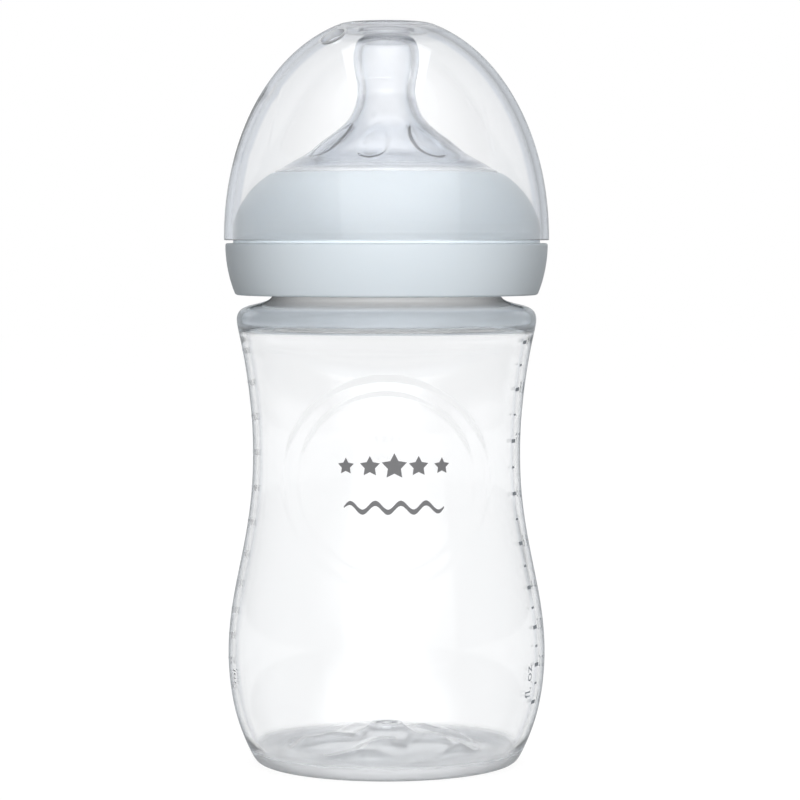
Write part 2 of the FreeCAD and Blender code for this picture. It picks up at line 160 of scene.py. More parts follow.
def lathe(name, section, angles, relief=None, closed=True):
    """Turns a section about +Z. relief(r, z, degrees, row) returns the moved (r, z).
    An open section starts and ends on the axis; a closed one joins its last station
    to its first."""
    rows = len(section)
    r = np.repeat(section[:, 0][:, None], len(angles), 1)
    z = np.repeat(section[:, 1][:, None], len(angles), 1)
    deg = np.repeat(angles[None, :], rows, 0)
    if relief is not None:
        r, z = relief(r, z, deg, np.arange(rows)[:, None] + 0 * deg)
    a = np.radians(deg)
    co = np.stack([r * np.cos(a), r * np.sin(a), z], axis=-1) * MM
    verts = co.reshape(-1, 3).tolist()
    n = len(angles)
    faces = []
    spans = rows if closed else rows - 1
    for i in range(spans):
        j = (i + 1) % rows
        for k in range(n):
            m = (k + 1) % n
            faces.append((i * n + k, i * n + m, j * n + m, j * n + k))
    if not closed:
        for row, flip in ((0, True), (rows - 1, False)):
            centre = len(verts)
            verts.append([0.0, 0.0, float(section[row, 1]) * MM])
            for k in range(n):
                m = (k + 1) % n
                tri = (row * n + k, row * n + m, centre)
                faces.append(tri[::-1] if flip else tri)
    mesh = bpy.data.meshes.new(name)
    mesh.from_pydata(verts, [], faces)
    mesh.update()
    return add_piece(name, mesh)


def add_piece(name, mesh):
    """Puts a mesh in the scene as a smooth-shaded object."""
    obj = bpy.data.objects.new(name, mesh)
    bpy.context.scene.collection.objects.link(obj)
    mesh.shade_smooth()
    return obj


def outward(obj):
    """Makes all faces point out of the material."""
    bm = bmesh.new()
    bm.from_mesh(obj.data)
    bmesh.ops.recalc_face_normals(bm, faces=bm.faces)
    bm.to_mesh(obj.data)
    bm.free()


def sharpen(obj, degrees=32.0):
    """Keeps true corners crisp and everything else smooth."""
    obj.data.set_sharp_from_angle(angle=math.radians(degrees))


# ---- sections shared by the bottle and its ink -----------------------------------
def body_side(step=0.5):
    """Outside of the bottle from its foot up to the shoulder."""
    return smooth([(FOOT_OUT, 0), (29.0, 0.45), (30.2, 2.0), (31.8, 5.4), (33.7, 10.9),
                   (34.9, 17.0), (35.42, 24.0), (35.1, 31.0), (34.1, 38.0), (32.5, 46.0),
                   (31.0, 54.2), (30.1, 62.0), (29.87, 68.0), (30.05, 76.0),
                   (30.9, 84.7), (32.2, 92.7), (33.1, 97.0), (33.4, 99.2)], (1, 0), (0, 1), step)


def body_shoulder(step=0.3):
    """Outside of the shoulder, up into the neck."""
    return smooth([(33.4, 99.2), (32.95, 100.8), (31.4, 101.95), (29.5, 102.5),
                   (27.4, 103.05), (25.9, 103.8), (NECK_R, NECK_FOOT_Z)], (0, 1), (0, 1), step)


SIDE = body_side(0.25)


def side_radius(z):
    """Outer radius of the bottle at a height."""
    return np.interp(z, SIDE[:, 1], SIDE[:, 0])


def dish_depth(x, z):
    """How far the front dish sinks at a point x across and z up."""
    reach = np.hypot(x, z - DISH_Z)
    return DISH_STEP * (2.0 - step_up(reach, DISH_OUT - 0.9, DISH_OUT + 0.1)
                        - step_up(reach, DISH_IN - 0.7, DISH_IN + 0.1))


def rib_height(deg, z, start_z, start_deg, turns, tall):
    """Height of a screw thread over its wall at an angle and height, with tapered ends."""
    best = np.zeros_like(z)
    for lap in range(-1, 3):
        run = deg - start_deg + 360.0 * lap
        along = run / 360.0
        centre = start_z + LEAD * along
        off = np.abs(z - centre)
        face = np.clip((RIB_FLAT - off) / RIB_FLANK, 0.0, 1.0)
        ends = step_up(along, 0.0, 0.06) * (1.0 - step_up(along, turns - 0.06, turns))
        inside = (along >= 0.0) & (along <= turns)
        best = np.maximum(best, np.where(inside, face * ends * tall, 0.0))
    return best


# ---- bottle ------------------------------------------------------------------------
def wall_at(z):
    """The wall thickens towards the foot."""
    return WALL + (FOOT_WALL - WALL) * math.exp(-z / 3.0)


def inner_skin():
    """Inside of the bottle from the foot up the side and the thick shoulder into the neck."""
    low = [tuple(p) for p in inward(body_side(2.5), wall_at) if p[1] < THICK_FROM_Z]
    shoulder = [(31.5, 97.5), (30.95, 98.8), (29.6, 100.2), (27.6, 101.35), (25.4, 102.6),
                (24.1, 104.0), (NECK_R - WALL, NECK_FOOT_Z + 0.6)]
    return smooth(low + shoulder, (1, 0), (0, 1), 0.45)


def floor_lift(r, deg):
    """Swirled lobes pushed up into the floor between the foot and the boss."""
    swirl = deg - LOBE_START_AZ + LOBE_SWIRL * (r - 15.0)
    wave = np.cos(np.radians(swirl * LOBES))
    crest = np.clip(0.5 + 0.5 * wave, 0.0, 1.0) ** 1.2
    band = step_up(r, 6.5, 14.0) * (1.0 - step_up(r, 18.0, 22.8))
    return LOBE_HEIGHT * crest * band


def bottle_section():
    """Whole wall of the bottle, from the middle of the underside round to the boss."""
    side, shoulder = body_side(0.45), body_shoulder()
    inner = inner_skin()
    neck_in = NECK_R - WALL
    floor = [(FOOT_IN - 0.9, 0.7), (20.0, 1.2), (14.0, 2.5), (8.5, 4.5), (BOSS_R + 0.6, 6.0)]
    above = [tuple(inner[0])] + [(r, z + FLOOR_WALL) for r, z in floor]
    top = smooth(above, (-1, 0), (-1, 0.6), 0.4)
    under = smooth(floor[::-1] + [(FOOT_IN, 0)], (1, -0.6), (0.8, -1), 0.4)
    boss = [(BOSS_R, BOSS_Z - 0.3), (BOSS_R - 0.3, BOSS_Z), (2.6, BOSS_Z), (2.3, BOSS_Z - 0.3),
            (1.2, BOSS_Z - 0.3), (0.9, BOSS_Z), (0.35, BOSS_Z)]
    return chain([(0.35, 6.5), (BOSS_R - 0.3, 6.5), (BOSS_R, 6.4)], under,
                 straight((FOOT_IN, 0), (FOOT_OUT, 0)), side, shoulder,
                 straight((NECK_R, NECK_FOOT_Z), (NECK_R, RIM_Z - RIM_ROUND), 0.3),
                 bend((NECK_R - RIM_ROUND, RIM_Z - RIM_ROUND), RIM_ROUND, 0, 90, 0.12),
                 bend((neck_in + RIM_ROUND, RIM_Z - RIM_ROUND), RIM_ROUND, 90, 180, 0.12),
                 straight((neck_in, RIM_Z - RIM_ROUND), tuple(inner[-1]), 1.2),
                 inner[::-1], top, boss)


def bottle_relief(section):
    """Dish and thread on the outside, lobes on both faces of the floor."""
    low = nearest(section, FOOT_IN, 0.0)
    outer_top = nearest(section, NECK_R, RIM_Z - RIM_ROUND)

    def relief(r, z, deg, row):
        """Rows up to low are the underside, those past outer_top the inside."""
        outside = (row > low) & (row <= outer_top)
        floor = ((row < low) | (row > outer_top)) & (z < 9.0) & (r < 23.5)
        x = r * np.cos(np.radians(deg))
        front = np.sin(np.radians(deg)) < 0
        r = r - np.where(outside & front & (z > 20) & (z < 98), dish_depth(x, z), 0.0)
        neck = outside & (z > NECK_FOOT_Z)
        rib = rib_height(deg, z, NECK_RIB_Z, 0.0, NECK_RIB_TURNS, NECK_RIB_TALL)
        r = r + np.where(neck, rib, 0.0)
        z = z + np.where(floor, floor_lift(r, deg), 0.0)
        return r, z
    return relief


def make_bottle():
    """The bottle, with finer columns over the dish."""
    section = bottle_section()
    piece = lathe("bottle_glass", section, round_angles(207, 333, 0.75, 1.8),
                  bottle_relief(section), closed=False)
    outward(piece)
    sharpen(piece)
    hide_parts("bottle_body")
    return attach(piece, "bottle")


# ---- ring --------------------------------------------------------------------------
ARC_R, ARC_Z, ARC = 16.3, 115.75, 18.38       # centre and radius of the ring's shoulder


def on_arc(deg, shrink=0.0):
    """Point of the ring's shoulder arc, or of the one inside its wall."""
    a = math.radians(deg)
    return (ARC_R + (ARC - shrink) * math.cos(a), ARC_Z + (ARC - shrink) * math.sin(a))


def through(a, b, c, step=0.5):
    """Arc from a to c by way of b."""
    (ax, ay), (bx, by), (cx, cy) = a, b, c
    d = 2 * (ax * (by - cy) + bx * (cy - ay) + cx * (ay - by))
    aa, bb, cc = ax**2 + ay**2, bx**2 + by**2, cx**2 + cy**2
    ux = (aa * (by - cy) + bb * (cy - ay) + cc * (ay - by)) / d
    uy = (aa * (cx - bx) + bb * (ax - cx) + cc * (bx - ax)) / d
    a0, a1 = (math.degrees(math.atan2(y - uy, x - ux)) for x, y in (a, c))
    if a1 - a0 > 180:
        a1 -= 360
    if a0 - a1 > 180:
        a1 += 360
    return bend((ux, uy), math.dist((ux, uy), a), a0, a1, step)


def ring_section():
    """Outer shell, ledge and seat for the cap, opening for the teat and threaded skirt."""
    low, high, foot, ledge = 13.8, 58.8, RING_FOOT_Z, RING_LEDGE_Z
    seat_top = RIM_Z + FLANGE_T + 2 * SEAL_GAP
    inner_deg = math.degrees(math.acos((SKIRT_OUT - ARC_R) / (ARC - RING_WALL)))
    bead = ledge + 2.2
    return chain(
        bend((RING_R_FOOT - 0.75, foot + 0.75), 0.75, -90, -12, 0.15),
        through((RING_R_FOOT, foot + 0.6), (35.24, 109.7), (RING_R_LEDGE, ledge - 0.5)),
        bend((RING_R_LEDGE - 0.5, ledge - 0.5), 0.5, 4, 90, 0.12),
        straight((RING_R_LEDGE - 0.5, ledge), (CAP_SEAT_R + 0.15, ledge)),
        bend((CAP_SEAT_R + 0.15, ledge + 0.15), 0.15, 270, 180, 0.1),
        straight((CAP_SEAT_R, ledge + 0.2), (CAP_SEAT_R, bead - 0.6)),
        through((CAP_SEAT_R, bead - 0.6), (CAP_SEAT_R + 0.08, bead), (CAP_SEAT_R, bead + 0.6), 0.2),
        bend((ARC_R, ARC_Z), ARC, low, high),
        through(on_arc(high), (OPENING_R + 0.12, OPENING_Z - 0.13),
                (OPENING_R, OPENING_Z - 0.45), 0.1),
        straight((OPENING_R, OPENING_Z - 0.5), (OPENING_R, seat_top)),
        straight((OPENING_R, seat_top), (RING_BORE, seat_top)),
        straight((RING_BORE, seat_top), (RING_BORE, foot + 1.9), 0.3),
        [(RING_BORE + 0.5, foot + 1.2)],
        straight((RING_BORE + 0.5, foot + 1.2), (SKIRT_OUT, foot + 1.2)),
        straight((SKIRT_OUT, foot + 1.2), on_arc(inner_deg, RING_WALL)),
        bend((ARC_R, ARC_Z), ARC - RING_WALL, inner_deg, low),
        [(CAP_SEAT_R - 1.5, ledge + 1.4), (RING_R_LEDGE - 1.8, ledge - 1.3)],
        through((RING_R_LEDGE - 1.8, ledge - 1.3), (33.45, 109.9), (RING_R_FOOT - 1.8, foot + 0.3)),
        bend((RING_R_FOOT - 1.5, foot + 0.3), 0.3, 180, 270, 0.1))


def make_ring():
    """The screw ring, with the thread rib in its bore."""
    def relief(r, z, deg, row):
        """The thread rib, on the bore alone."""
        bore = np.abs(r - RING_BORE) < 0.01
        start = NECK_RIB_Z + LEAD * RING_RIB_AZ / 360.0 - 1.65
        rib = rib_height(deg, z, start, RING_RIB_AZ, RING_RIB_TURNS, RING_RIB_TALL)
        return r - np.where(bore, rib, 0.0), z

    piece = lathe("ring_shell", ring_section(), round_angles(coarse=1.25), relief)
    outward(piece)
    sharpen(piece, 38.0)
    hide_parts("screw_ring")
    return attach(piece, "ring")


# ---- teat --------------------------------------------------------------------------
def teat_section():
    """Cone and nipple, feeding hole, flange and the short skirt that drops into the neck."""
    outside = smooth([(OPENING_R - 0.3, CONE_FOOT_Z), (24.9, 131.85), (24.0, 132.4), (22.4, 133.3),
                      (20.1, 134.6), (17.8, 135.9), (14.4, 138.6), (10.9, 141.2), (8.2, 143.9),
                      (6.9, 146.7), (6.45, 150.3), (6.9, 153.3), (7.33, 156.8), (7.1, 159.3),
                      (6.3, 161.2), (4.9, 162.15), (3.4, TEAT_TIP_Z)], (0, 1), (-1, 0), 0.16)
    skin = inward(outside, lambda z: TEAT_WALL)
    skin = np.array([p for p in skin if p[0] < 22.2])
    ceiling = TEAT_TIP_Z - TEAT_WALL
    inside = smooth([(OPENING_R - 2.0, 130.0)] + [tuple(p) for p in skin[::8]]
                    + [(1.2, ceiling)], (0, 1), (-1, 0), 0.35)
    flange, root = RIM_Z + SEAL_GAP, OPENING_R - 0.3
    plug = NECK_R - WALL - 0.3
    edge = RING_BORE - 0.55
    return chain(
        straight((root, flange + FLANGE_T), (root, CONE_FOOT_Z)), outside,
        straight((3.4, TEAT_TIP_Z), (TEAT_HOLE_R + 0.1, TEAT_TIP_Z)),
        [(TEAT_HOLE_R, TEAT_TIP_Z - 0.1), (TEAT_HOLE_R, ceiling), (1.2, ceiling)], inside[::-1],
        straight((OPENING_R - 2.0, 130.0), (OPENING_R - 2.0, flange + FLANGE_T + 1.0)),
        straight((OPENING_R - 2.0, flange + FLANGE_T + 1.0), (plug - 1.3, flange - 1.7)),
        straight((plug - 1.3, flange - 1.7), (plug - 0.5, flange - 1.7)),
        [(plug, flange - 1.2)], straight((plug, flange - 1.2), (plug, flange)),
        straight((plug, flange), (edge, flange)),
        through((edge, flange), (edge + 0.25, flange + FLANGE_T / 2),
                (edge, flange + FLANGE_T), 0.3),
        straight((edge, flange + FLANGE_T), (root, flange + FLANGE_T)))


def make_teat():
    """The teat, with its pads and ridge."""
    section = teat_section()
    tip = nearest(section, TEAT_HOLE_R, TEAT_TIP_Z - TEAT_WALL)

    def relief(r, z, deg, row):
        """Pads inside the cone, pointed at their upper ends, and a fine ridge on the nipple."""
        inside = (row > tip) & (z > 133.0)
        pitch = 360.0 / PETALS
        near = (deg - PETAL_AZ + pitch / 2) % pitch - pitch / 2
        across = np.abs(np.radians(near)) * r
        along = (PETAL_R + 0.6 - r) / PETAL_LONG
        ridge = (row <= tip) & (np.abs(z - RIDGE_Z) < 0.45)
        front = (deg + 90.0 + 180.0) % 360.0 - 180.0
        stretch = step_up(front, -80.0, -70.0) * (1.0 - step_up(front, 5.0, 14.0))
        crest = 1.0 - step_up(np.abs(z - RIDGE_Z), 0.1, 0.4)
        r = r + np.where(ridge, RIDGE_TALL * stretch * crest, 0.0)
        half = PETAL_HALF_WIDE * np.sqrt(np.clip(1.0 - along**2, 0.0, 1.0)) * (1.0 - 0.30 * along)
        height = PETAL_TALL * step_up(half - across, 0.0, PETAL_EDGE) * (np.abs(along) < 1)
        return (r - np.where(inside, height * PETAL_LEAN[0], 0.0),
                z - np.where(inside, height * PETAL_LEAN[1], 0.0))

    piece = lathe("teat_skin", section, round_angles(coarse=1.5), relief)
    outward(piece)
    sharpen(piece, 45.0)
    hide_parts("teat")
    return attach(piece, "teat")


# ---- cap ---------------------------------------------------------------------------
def dome_radius(z):
    """Outer radius of the dome at a height."""
    u = min(max((z - CAP_FOOT_Z) / DOME_RISE, 0.0), 1.0)
    return CAP_R * (1.0 - u**DOME_POWER) ** (1.0 / DOME_POWER)


def cap_section():
    """Wall of the dome, with the small ring inside its top round the teat's tip."""
    top = CAP_TOP_Z - 0.45
    outer = smooth([(dome_radius(z), z) for z in
                    (CAP_FOOT_Z, 119.0, 122.5, 126.5, 130.5, 134.5, 138.5, 142.5, 146.5, 150.0,
                     153.3, 156.3, 158.8, 161.0, 162.8, top)], (0, 1), CAP_TOP_SLOPE, 0.45)
    inner = inward(outer, lambda z: CAP_WALL)
    inner = np.array([(inner[0][0], CAP_FOOT_Z)] + [p for p in inner if p[1] > CAP_FOOT_Z + 0.4])
    ceiling = CAP_TOP_Z - CAP_WALL
    edge, inner_edge = tuple(outer[-1]), tuple(inner[-1])
    tip_ring = [(TIP_RING_IN, TIP_RING_Z + TIP_RING_EDGE),
                (TIP_RING_IN + TIP_RING_EDGE, TIP_RING_Z),
                (TIP_RING_OUT - TIP_RING_EDGE, TIP_RING_Z),
                (TIP_RING_OUT, TIP_RING_Z + TIP_RING_EDGE), (TIP_RING_OUT, ceiling)]
    return chain(
        [(0.3, ceiling)], straight((0.3, ceiling), (TIP_RING_IN, ceiling)), tip_ring,
        straight((TIP_RING_OUT, ceiling), (inner_edge[0] - 0.5, ceiling)),
        inner[::-1], straight(tuple(inner[0]), (CAP_R - 0.25, CAP_FOOT_Z)),
        bend((CAP_R - 0.25, CAP_FOOT_Z + 0.25), 0.25, -90, 0, 0.1), outer[1:],
        smooth([edge, (edge[0] - 1.3, CAP_TOP_Z - 0.12), (edge[0] - 3.2, CAP_TOP_Z)],
               CAP_TOP_SLOPE, (-1, 0), 0.3)[1:],
        straight((edge[0] - 3.2, CAP_TOP_Z), (0.3, CAP_TOP_Z)))


def grip_depth(r, z, deg):
    """Shallow finger recess with a rounded outline, on two opposite sides."""
    depth = np.zeros_like(z)
    for azimuth in (GRIP_AZ, GRIP_AZ + 180.0):
        near = (deg + 90.0 - azimuth + 180.0) % 360.0 - 180.0
        across = np.abs(np.radians(near)) * r
        half = 11.0 - 5.0 * np.clip((z - 136.0) / 15.0, 0.0, 1.0) ** 1.5
        upright = step_up(z, 132.8, 136.5) * (1.0 - step_up(z, 146.5, 151.0))
        depth = np.maximum(depth, GRIP_DEPTH * upright * step_up(half - across, 0.0, 0.8))
    return depth


def air_hole_drill():
    """Cylinder square to the dome at the air hole."""
    turn = Matrix.Rotation(math.radians(VENT_AZ), 4, "Z")
    mesh = bpy.data.meshes.new("drill")
    bm = bmesh.new()
    bmesh.ops.create_cone(bm, cap_ends=True, segments=48,
                          radius1=VENT_R * MM, radius2=VENT_R * MM, depth=12 * MM)
    bm.transform(turn @ Matrix.Translation(Vector((0, -VENT_AT_R, VENT_Z)) * MM)
                 @ Vector(VENT_NORMAL).to_track_quat("Z", "Y").to_matrix().to_4x4())
    bm.to_mesh(mesh)
    bm.free()
    drill = bpy.data.objects.new("drill", mesh)
    bpy.context.scene.collection.objects.link(drill)
    return drill


def cut_with(piece, tool):
    """Takes the tool's shape out of the piece, then removes the tool."""
    cut = piece.modifiers.new("air_hole", "BOOLEAN")
    cut.operation, cut.object, cut.solver = "DIFFERENCE", tool, "EXACT"
    graph = bpy.context.evaluated_depsgraph_get()
    done = bpy.data.meshes.new_from_object(piece.evaluated_get(graph))
    piece.modifiers.clear()
    piece.data = done
    bpy.data.objects.remove(tool)


def make_cap():
    """The cap, with its finger recesses and air hole."""
    section = cap_section()
    foot = nearest(section, CAP_R - 0.25, CAP_FOOT_Z)

    def relief(r, z, deg, row):
        """Recesses on the outside, the rows past the foot."""
        return r - np.where(row > foot, grip_depth(r, z, deg), 0.0), z

    piece = lathe("dome_clear", section, round_angles(165, 285, 0.75, 1.5), relief, closed=False)
    outward(piece)
    sharpen(piece, 34.0)
    cut_with(piece, air_hole_drill())
    sharpen(piece, 34.0)
    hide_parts("dome_cap")
    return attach(piece, "cap")


# ---- ink and moulded marks -----------------------------------------------------------
INK_LIFT, EMBLEM_LIFT, EMBLEM_AZ = 0.05, 0.03, 3.5
HALF_OUNCE_ML, OUNCES_AZ, MILLILITRES_AZ = 14.785, 69.0, -85.0


def wrap_flat(name, flat, faces, azimuth, height, lift, radius=side_radius, sink=None):
    """Lays flat points (mm, x across, y up) on the bottle at an azimuth and height."""
    flat = np.array(flat, float)
    z = height + flat[:, 1]
    r = radius(z) + lift
    a = math.radians(azimuth - 90.0) + flat[:, 0] / radius(np.full(len(flat), height))
    if sink is not None:
        r = r - sink(r * np.cos(a), z)
    co = np.stack([r * np.cos(a), r * np.sin(a), z], axis=1) * MM
    mesh = bpy.data.meshes.new(name)
    mesh.from_pydata(co.tolist(), [], faces)
    mesh.update()
    return mesh


def strip(outline_a, outline_b):
    """Faces between two open outlines of equal length."""
    n = len(outline_a)
    flat = list(outline_a) + list(outline_b)
    return flat, [(i, i + 1, n + i + 1, n + i) for i in range(n - 1)]


def joined(name, meshes, body, material):
    """Joins flat marks into one printed piece that rides on a body."""
    bm = bmesh.new()
    for mesh in meshes:
        bm.from_mesh(mesh)
        bpy.data.meshes.remove(mesh)
    made = bpy.data.meshes.new(name)
    bm.to_mesh(made)
    bm.free()
    piece = add_piece(name, made)
    piece.data.materials.append(material)
    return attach(piece, body)


def star(size, count=5):
    """Plump star as a fan of faces round its middle."""
    ring = []
    for i in range(2 * count):
        reach, turn = size * (1.0 if i % 2 == 0 else 0.52), math.pi * i / count
        ring.append((reach * math.sin(turn), reach * math.cos(turn)))
    faces = [(0, 1 + i, 1 + (i + 1) % (2 * count)) for i in range(2 * count)]
    return [(0.0, 0.0)] + ring, faces


def emblem(material):
    """Generic printed mark: a row of five stars over a wavy ribbon."""
    meshes = []
    for i, size in enumerate((1.9, 2.3, 2.9, 2.3, 1.9)):
        flat, faces = star(size)
        flat = [(x + 5.35 * (i - 2), y) for x, y in flat]
        meshes.append(wrap_flat("mark", flat, faces, EMBLEM_AZ, DISH_Z + 3.6, EMBLEM_LIFT,
                                sink=dish_depth))
    x = np.linspace(-11.2, 11.2, 120)
    wave = 0.95 * np.sin(TURN * x / 5.6)
    half = 0.55 * np.sqrt(np.clip(1.0 - (x / 11.3) ** 6, 0.0, 1.0)) + 0.02
    flat, faces = strip(list(zip(x, wave + half)), list(zip(x, wave - half)))
    meshes.append(wrap_flat("mark", flat, faces, EMBLEM_AZ, DISH_Z - 5.2, EMBLEM_LIFT,
                            sink=dish_depth))
    return joined("emblem_ink", meshes, "bottle", material)


def fill_levels(step_ml, first, last):
    """Amounts counted in steps, each with the height of the liquid, from the room inside."""
    inner, floor_ml = inward(body_side(0.5), wall_at), 10.0
    levels, volume, amount = [], -floor_ml, first
    for (r0, z0), (r1, z1) in zip(inner, inner[1:]):
        part = math.pi * (z1 - z0) * (r0 * r0 + r0 * r1 + r1 * r1) / 3000.0
        while z1 > z0 and amount <= last and volume + part >= amount * step_ml:
            levels.append((amount, z0 + (z1 - z0) * (amount * step_ml - volume) / part))
            amount += 1
        volume += part
    return levels


def numeral(text, size):
    """Flat mesh of a numeral, centred, mm."""
    curve = bpy.data.curves.new("numeral", "FONT")
    curve.body, curve.size, curve.align_x, curve.align_y = text, size, "CENTER", "CENTER"
    curve.resolution_u = 4
    obj = bpy.data.objects.new("numeral", curve)
    bpy.context.scene.collection.objects.link(obj)
    mesh = bpy.data.meshes.new_from_object(obj.evaluated_get(bpy.context.evaluated_depsgraph_get()))
    flat = [(v.co.x, v.co.y) for v in mesh.vertices]
    faces = [tuple(p.vertices) for p in mesh.polygons]
    bpy.data.objects.remove(obj)
    bpy.data.curves.remove(curve)
    bpy.data.meshes.remove(mesh)
    return flat, faces


def bar(long, high):
    """Level tick with enough faces to follow the bottle."""
    x = np.linspace(-long / 2, long / 2, 9)
    return strip([(a, high / 2) for a in x], [(a, -high / 2) for a in x])


def scale_number(amount, size, azimuth, height):
    """Number to the right of its tick."""
    flat, faces = numeral(str(amount), size)
    return wrap_flat("number", [(a + 5.4, b) for a, b in flat], faces, azimuth, height, INK_LIFT)


def upright_label(text, size, azimuth, height):
    """Unit written up the bottle."""
    flat, faces = numeral(text, size)
    return wrap_flat("unit", [(-b, a) for a, b in flat], faces, azimuth, height, INK_LIFT)


def ounce_scale(material, azimuth=OUNCES_AZ):
    """Half-ounce ticks with a number to the right of each whole ounce."""
    meshes = []
    for halves, z in fill_levels(HALF_OUNCE_ML, 2, 18):
        whole = halves % 2 == 0
        flat, faces = bar(2.4, 0.8) if whole else bar(1.4, 0.45)
        meshes.append(wrap_flat("tick", flat, faces, azimuth, z, INK_LIFT))
        if whole:
            meshes.append(scale_number(halves // 2, 3.6, azimuth, z))
    meshes.append(upright_label("fl. oz", 3.8, azimuth - 6.5, 20.0))
    return joined("scale_ounces", meshes, "bottle", material)


def millilitre_scale(material, azimuth=MILLILITRES_AZ):
    """A tick and a number every 20 ml."""
    meshes = []
    for steps, z in fill_levels(20.0, 2, 13):
        flat, faces = bar(1.5, 0.4)
        meshes.append(wrap_flat("tick", flat, faces, azimuth, z, INK_LIFT))
        meshes.append(scale_number(20 * steps, 2.0, azimuth, z))
    meshes.append(upright_label("ml", 3.4, azimuth + 13.0, 20.5))
    return joined("scale_millilitres", meshes, "bottle", material)


# ---- materials -----------------------------------------------------------------------
# Where the look of the plastic changes, mm. A zone has four heights: where it starts,
# where it is full, where it starts to fade and where it ends.
FOOT_FADE, FLOOR_FADE_R, FLOOR_FADE_Z = (2.2, 4.2), (23.5, 26.5), (10.0, 13.0)
SHOULDER_ZONE = 97.2, 98.6, 110.0, 112.0
NECK_ZONE = 101.2, 103.2, 110.0, 112.0


def material(name, **values):
    """Principled material with plain socket values; spaces in names are underscores here."""
    mat = bpy.data.materials.new(name)
    mat.use_nodes = True
    shader = mat.node_tree.nodes["Principled BSDF"]
    for key, value in values.items():
        shader.inputs[key.replace("_", " ")].default_value = value
    return mat, mat.node_tree, shader


def noise(tree, scale, detail=2.0, stretch=(1, 1, 1)):
    """Object-space noise, scale in features per metre."""
    place = tree.nodes.new("ShaderNodeTexCoord")
    mapping = tree.nodes.new("ShaderNodeMapping")
    mapping.inputs["Scale"].default_value = stretch
    tex = tree.nodes.new("ShaderNodeTexNoise")
    tex.inputs["Scale"].default_value = scale
    tex.inputs["Detail"].default_value = detail
    tree.links.new(place.outputs["Object"], mapping.inputs["Vector"])
    tree.links.new(mapping.outputs["Vector"], tex.inputs["Vector"])
    return tex.outputs["Fac"]


def spread(tree, value, low, high):
    """Maps a 0.3 to 0.7 noise onto low to high."""
    node = tree.nodes.new("ShaderNodeMapRange")
    node.inputs["From Min"].default_value = 0.3
    node.inputs["From Max"].default_value = 0.7
    node.inputs["To Min"].default_value = low
    node.inputs["To Max"].default_value = high
    tree.links.new(value, node.inputs["Value"])
    return node.outputs["Result"]


def bump(tree, shader, value, strength, distance):
    """Fine unevenness of a surface, distance in metres."""
    node = tree.nodes.new("ShaderNodeBump")
    node.inputs["Strength"].default_value = strength
    node.inputs["Distance"].default_value = distance
    tree.links.new(value, node.inputs["Height"])
    tree.links.new(node.outputs["Normal"], shader.inputs["Normal"])


def absorb(tree, per_metre):
    """Tint that builds up along the wall, so a wall seen edge on is darker."""
    density = 100.0
    volume = tree.nodes.new("ShaderNodeVolumeAbsorption")
    volume.inputs["Color"].default_value = (*(1.0 - k / density for k in per_metre), 1.0)
    volume.inputs["Density"].default_value = density
    output = next(n for n in tree.nodes if n.type == "OUTPUT_MATERIAL")
    tree.links.new(volume.outputs["Volume"], output.inputs["Volume"])


def ramp(tree, value, stops):
    """Colour ramp over a value; stops are (place, colour), all within 0 to 1."""
    node = tree.nodes.new("ShaderNodeValToRGB")
    band = node.color_ramp
    band.interpolation = "EASE"
    band.elements[0].position, band.elements[0].color = stops[0][0], (*stops[0][1], 1.0)
    band.elements[1].position, band.elements[1].color = stops[-1][0], (*stops[-1][1], 1.0)
    for place, colour in stops[1:-1]:
        band.elements.new(place).color = (*colour, 1.0)
    tree.links.new(value, node.inputs["Fac"])
    return node.outputs["Color"]


def glancing(tree, stops):
    """Painted edge shade: glass tinted darker where it is seen at a glancing angle, so its rims
    show a dark line; stops of (facing, colour).
    """
    weight = tree.nodes.new("ShaderNodeLayerWeight")
    weight.inputs["Blend"].default_value = 0.5
    return ramp(tree, weight.outputs["Facing"], stops)


def measure(tree, what, centre=(0.0, 0.0, 0.0)):
    """Height over the foot, distance from the axis, or distance from a point, in metres."""
    place = tree.nodes.new("ShaderNodeTexCoord").outputs["Object"]
    if what == "height":
        split = tree.nodes.new("ShaderNodeSeparateXYZ")
        tree.links.new(place, split.inputs["Vector"])
        return split.outputs["Z"]
    flatten = tree.nodes.new("ShaderNodeVectorMath")
    flatten.operation = "MULTIPLY"
    flatten.inputs[1].default_value = (1.0, 1.0, 0.0 if what == "radius" else 1.0)
    tree.links.new(place, flatten.inputs[0])
    reach = tree.nodes.new("ShaderNodeVectorMath")
    reach.operation = "DISTANCE"
    reach.inputs[1].default_value = centre
    tree.links.new(flatten.outputs["Vector"], reach.inputs[0])
    return reach.outputs["Value"]


def fade(tree, value, start, end, first=1.0, last=0.0):
    """Smooth change from first to last between two values given in mm."""
    node = tree.nodes.new("ShaderNodeMapRange")
    node.interpolation_type = "SMOOTHSTEP"
    for name, number in (("From Min", start * MM), ("From Max", end * MM),
                         ("To Min", first), ("To Max", last)):
        node.inputs[name].default_value = number
    tree.links.new(value, node.inputs["Value"])
    return node.outputs["Result"]


def combine(tree, operation, a, b):
    """Two values joined by a maths operation, such as MAXIMUM or MULTIPLY."""
    node = tree.nodes.new("ShaderNodeMath")
    node.operation = operation
    tree.links.new(a, node.inputs[0])
    tree.links.new(b, node.inputs[1])
    return node.outputs["Value"]


def share(tree, value, part):
    """A part of a value."""
    node = tree.nodes.new("ShaderNodeMath")
    node.operation = "MULTIPLY"
    node.inputs[1].default_value = part
    tree.links.new(value, node.inputs[0])
    return node.outputs["Value"]


def blend(tree, amount, first, last):
    """Colour between first and last, each a socket or a plain colour."""
    node = tree.nodes.new("ShaderNodeMix")
    node.data_type = "RGBA"
    tree.links.new(amount, node.inputs["Factor"])
    for colour, socket in ((first, node.inputs[6]), (last, node.inputs[7])):
        if isinstance(colour, tuple):
            socket.default_value = (*colour, 1.0)
        else:
            tree.links.new(colour, socket)
    return node.outputs[2]


